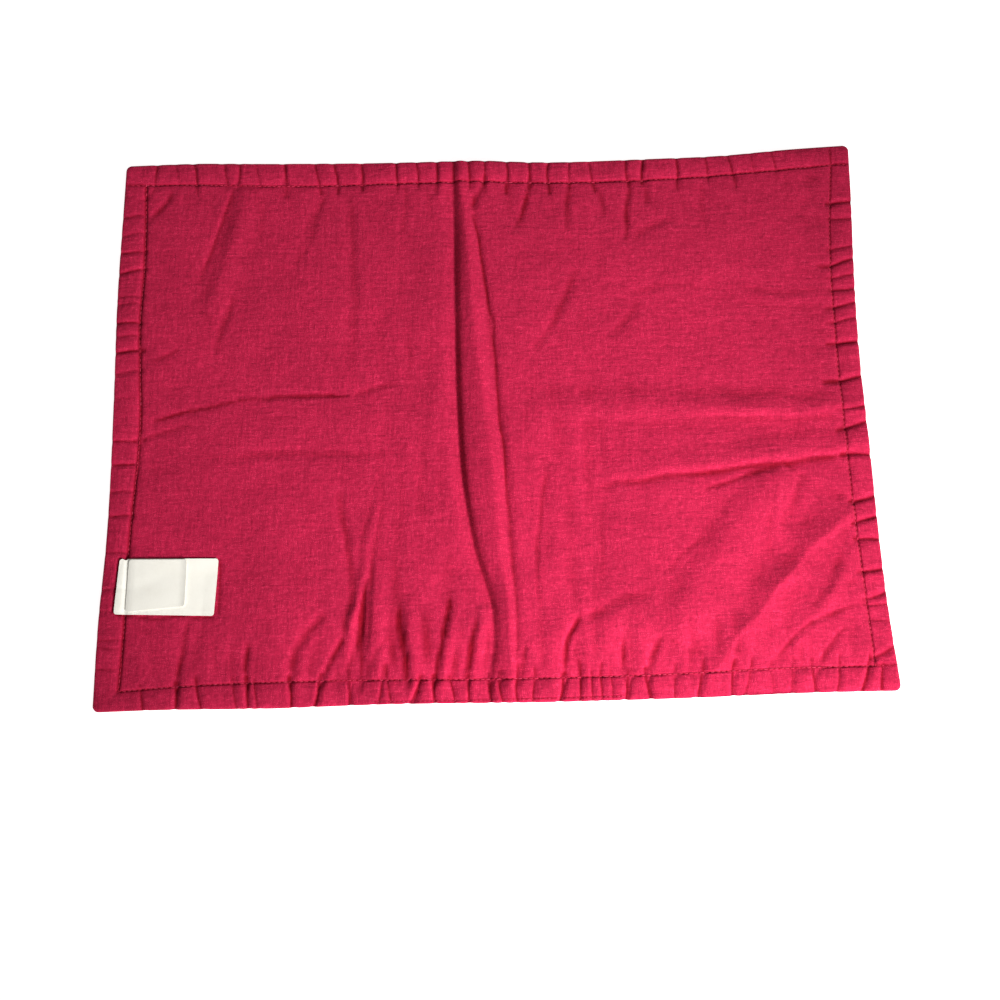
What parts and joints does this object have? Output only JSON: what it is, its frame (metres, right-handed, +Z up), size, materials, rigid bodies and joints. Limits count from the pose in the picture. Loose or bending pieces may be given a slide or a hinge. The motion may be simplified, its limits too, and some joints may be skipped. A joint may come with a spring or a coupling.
{
  "type": "fabric placemat",
  "caption": "Rectangular two-layer cloth placemat lying face down, with a top-stitched puckered hem, a raised centre fold and a bare ribbon label sewn in at one side.",
  "frame": {"origin": "middle of the mat's underside, on the surface that it lies on", "axes": "+X along the long side, away from the label; +Y along the short side, away from the edge with the closing seam; +Z up"},
  "size_m": [0.4524, 0.3359, 0.0064],
  "materials": {
    "mat_cloth": "crimson cotton plain weave, matt",
    "label_ribbon": "cream satin ribbon, soft sheen"
  },
  "bodies": {
    "root": {"placemat": "mat_cloth", "label_long_leaf": "label_ribbon", "label_short_leaf": "label_ribbon"}
  },
  "joints": []
}
